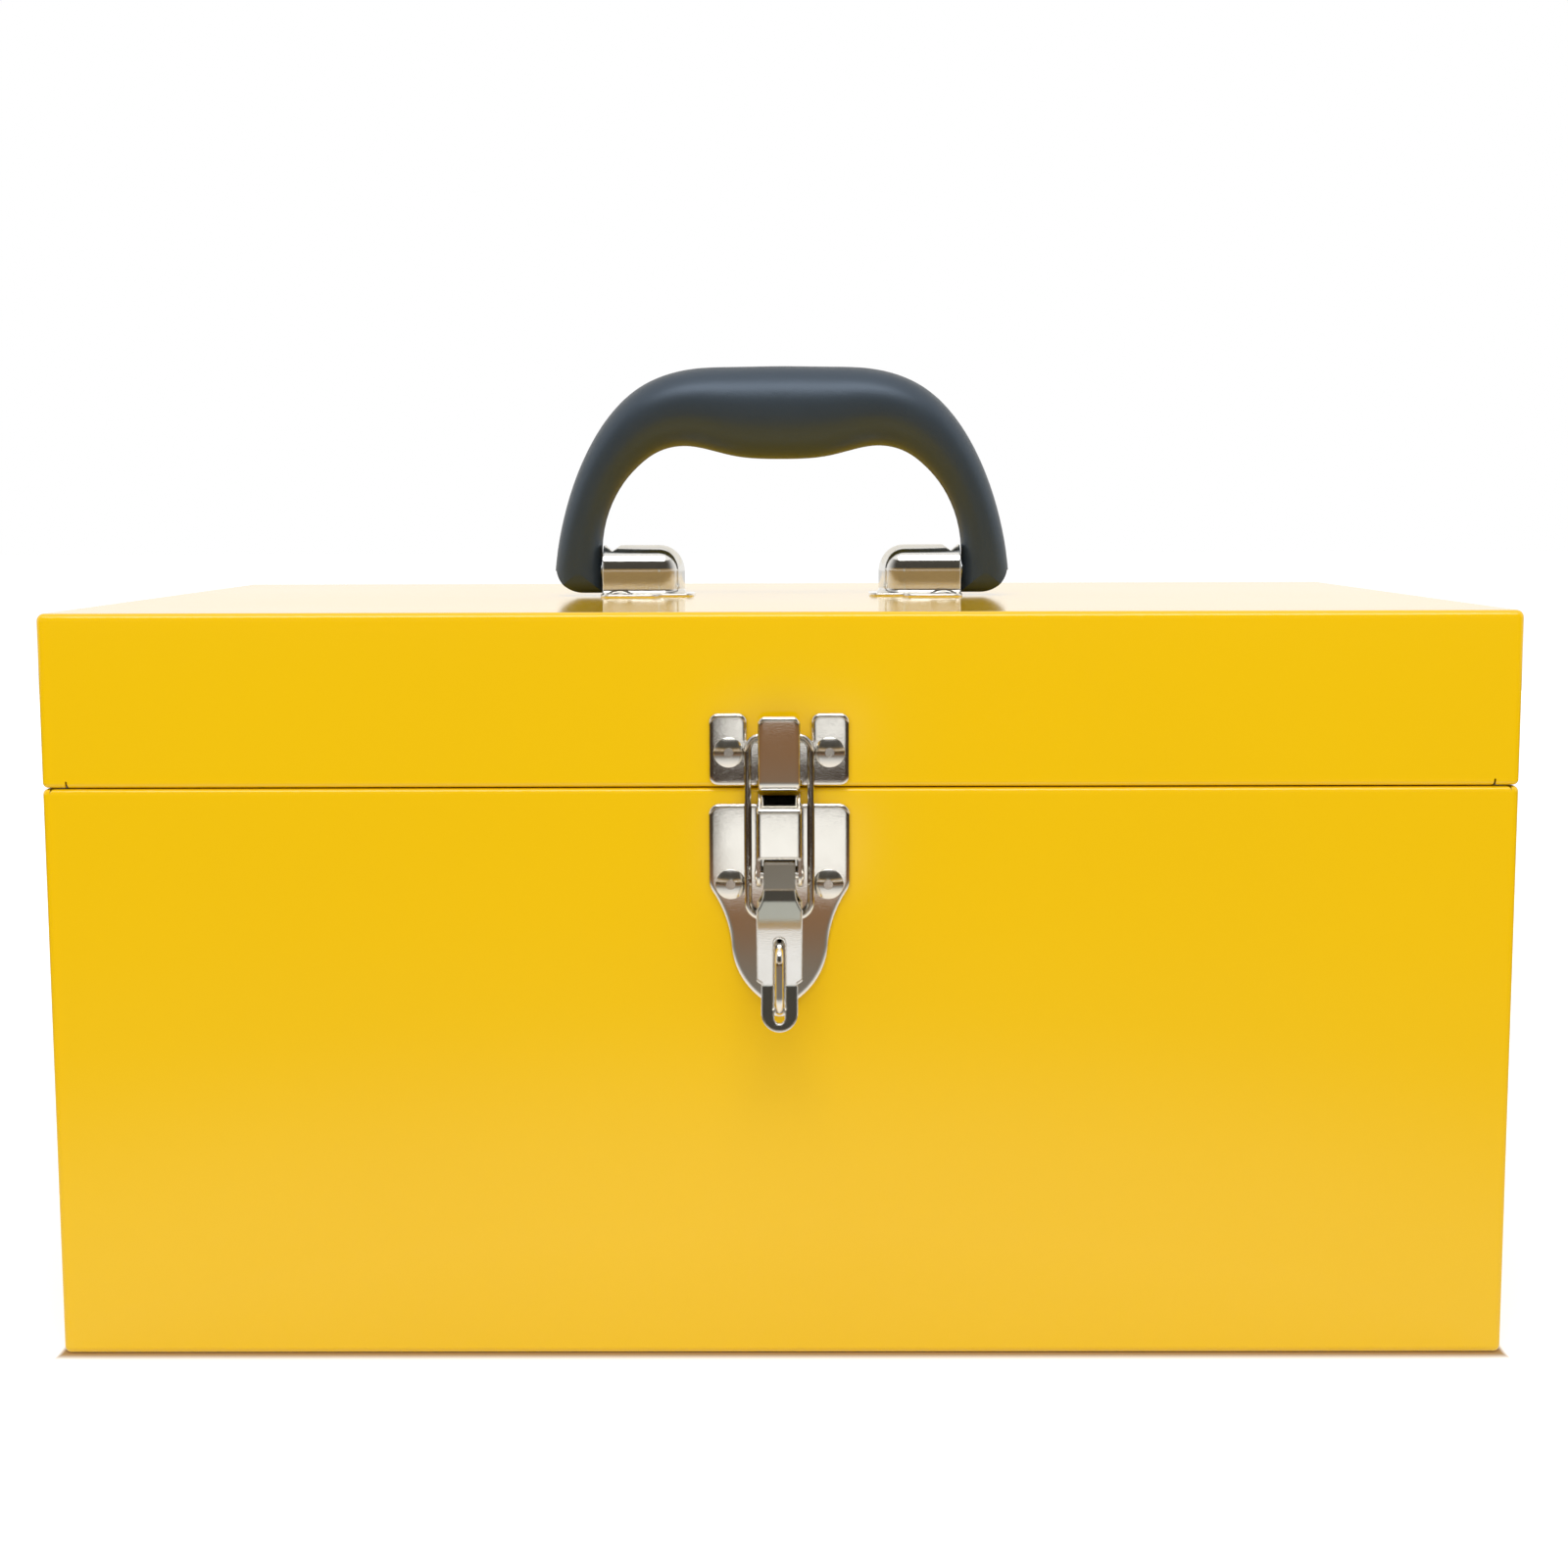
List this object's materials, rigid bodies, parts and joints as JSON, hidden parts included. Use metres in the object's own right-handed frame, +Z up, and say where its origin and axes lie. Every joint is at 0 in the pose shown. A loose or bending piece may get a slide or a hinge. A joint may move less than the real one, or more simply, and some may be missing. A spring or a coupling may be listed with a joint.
{
  "type": "metal toolbox",
  "caption": "Folded sheet-steel toolbox with a rear-hinged lid, a draw latch with a padlock staple and a folding carry handle on top.",
  "frame": {"origin": "centre of the box's footprint on the floor", "axes": "+X to the right along the length as seen from the latch side, -Y the latch side, +Z up"},
  "size_m": [0.4, 0.274, 0.2785],
  "materials": {
    "yellow_paint": "smooth satin enamel, yellow",
    "nickel": "bright nickel plate",
    "zinc_steel": "zinc-plated steel",
    "grey_plastic": "satin moulded plastic, dark slate grey"
  },
  "bodies": {
    "base": {"base_shell": "yellow_paint", "hinge_leaf_base": "zinc_steel", "hinge_pin": "zinc_steel", "hinge_rivets_base": "zinc_steel", "latch_base_plate": "nickel", "latch_base_rivets": "nickel", "latch_lever_pin": "nickel", "padlock_staple": "nickel"},
    "lid": {"lid_shell": "yellow_paint", "hinge_leaf_lid": "zinc_steel", "hinge_rivets_lid": "zinc_steel", "keeper_plate": "nickel", "keeper_rivets": "nickel", "handle_bracket_left": "nickel", "handle_bracket_right": "nickel", "handle_bracket_rivets": "nickel"},
    "handle": {"handle_grip": "grey_plastic", "handle_trunnion_left": "zinc_steel", "handle_trunnion_right": "zinc_steel"},
    "lever": {"latch_lever": "nickel"},
    "loop": {"latch_loop": "nickel"}
  },
  "joints": [
    {"name": "lid_hinge", "type": "hinge", "parent": "base", "child": "lid", "pos_m": [0, 0.1273, 0.15865], "axis": [-1, 0, 0], "range_deg": [0, 180]},
    {"name": "handle_pivot", "type": "hinge", "parent": "lid", "child": "handle", "pos_m": [0, 0, 0.214], "axis": [1, 0, 0], "range_deg": [-84, 84]},
    {"name": "lever_pivot", "type": "hinge", "parent": "base", "child": "lever", "pos_m": [0, -0.131, 0.13565], "axis": [-1, 0, 0], "range_deg": [0, 98]},
    {"name": "loop_pivot", "type": "hinge", "parent": "lever", "child": "loop", "pos_m": [0, -0.1288, 0.12395], "axis": [-1, 0, 0], "range_deg": [-80.5, 0]}
  ],
  "couplings": [
    {"joint": "loop_pivot", "follows": "lever_pivot", "ratio": -0.82}
  ]
}
